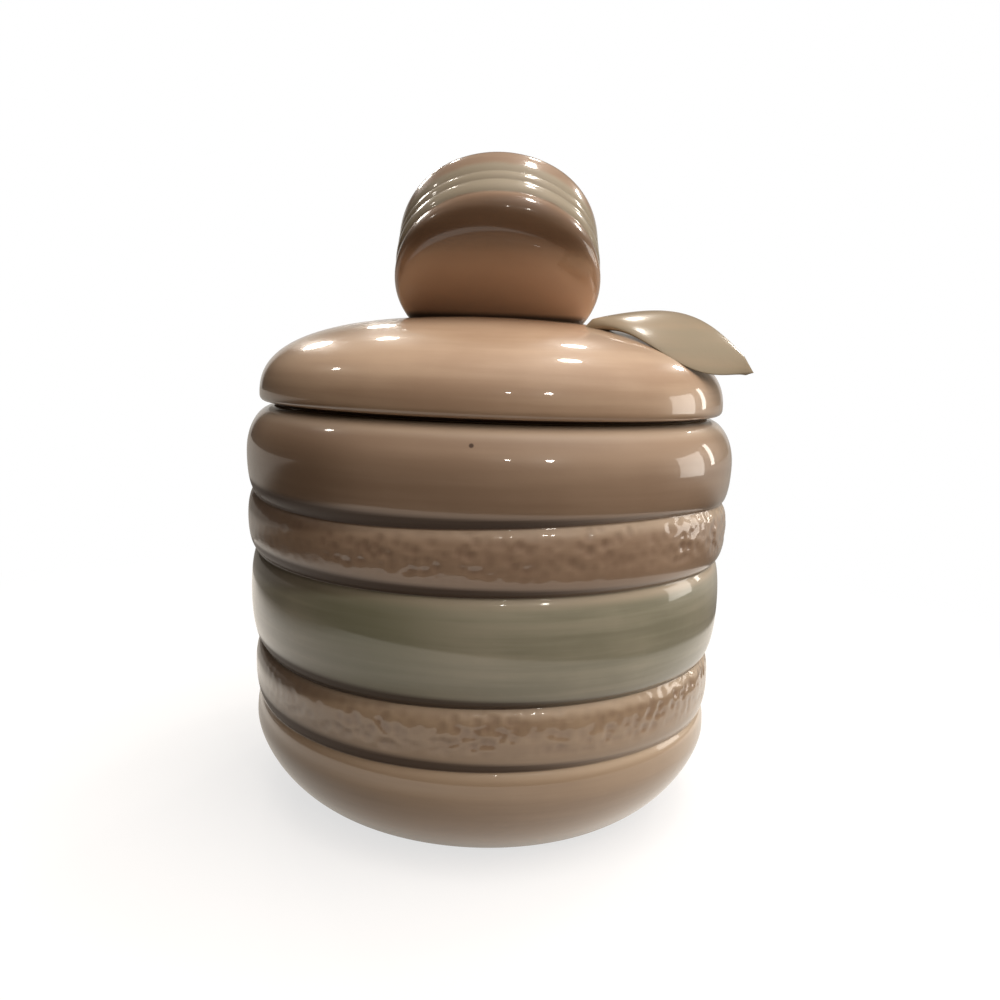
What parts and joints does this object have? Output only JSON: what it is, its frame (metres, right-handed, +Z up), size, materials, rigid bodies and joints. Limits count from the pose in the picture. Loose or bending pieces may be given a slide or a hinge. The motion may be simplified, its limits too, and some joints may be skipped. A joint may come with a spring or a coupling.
{
  "type": "cookie jar",
  "caption": "Round glazed ceramic cookie jar shaped as a ringed macaron, with a lift-off domed lid, a hollow tilted macaron knob, a leaf and a seal ring.",
  "frame": {"origin": "centre of the base on the jar's axis, on the table that the foot ring stands on", "axes": "+Z up along the jar's axis, +X to the right of someone who faces the front, front faces -Y; the leaf lies to the front right"},
  "size_m": [0.1908, 0.1908, 0.246],
  "materials": {
    "peach_glaze": "glossy glaze on earthenware: peach shells and foot bands, with a mint green filling between them",
    "pale_glaze": "glossy pale peach glaze on earthenware",
    "knob_glaze": "glossy glaze on earthenware: peach shells with pale mint bands between them",
    "mint_glaze": "glossy pale mint glaze on earthenware",
    "soft_seal": "pale matte silicone rubber"
  },
  "bodies": {
    "jar": {"jar_body": "peach_glaze"},
    "seal": {"seal_ring": "soft_seal"},
    "lid": {"lid": "pale_glaze", "knob": "knob_glaze", "leaf": "mint_glaze"}
  },
  "joints": [
    {"name": "lid_lift", "type": "slide", "parent": "jar", "child": "seal", "axis": [0, 0, 1], "range_m": [0, 0.1]},
    {"name": "lid_turn", "type": "hinge", "parent": "seal", "child": "lid", "pos_m": [0, 0, 0.1512], "axis": [0, 0, 1], "continuous": true}
  ]
}
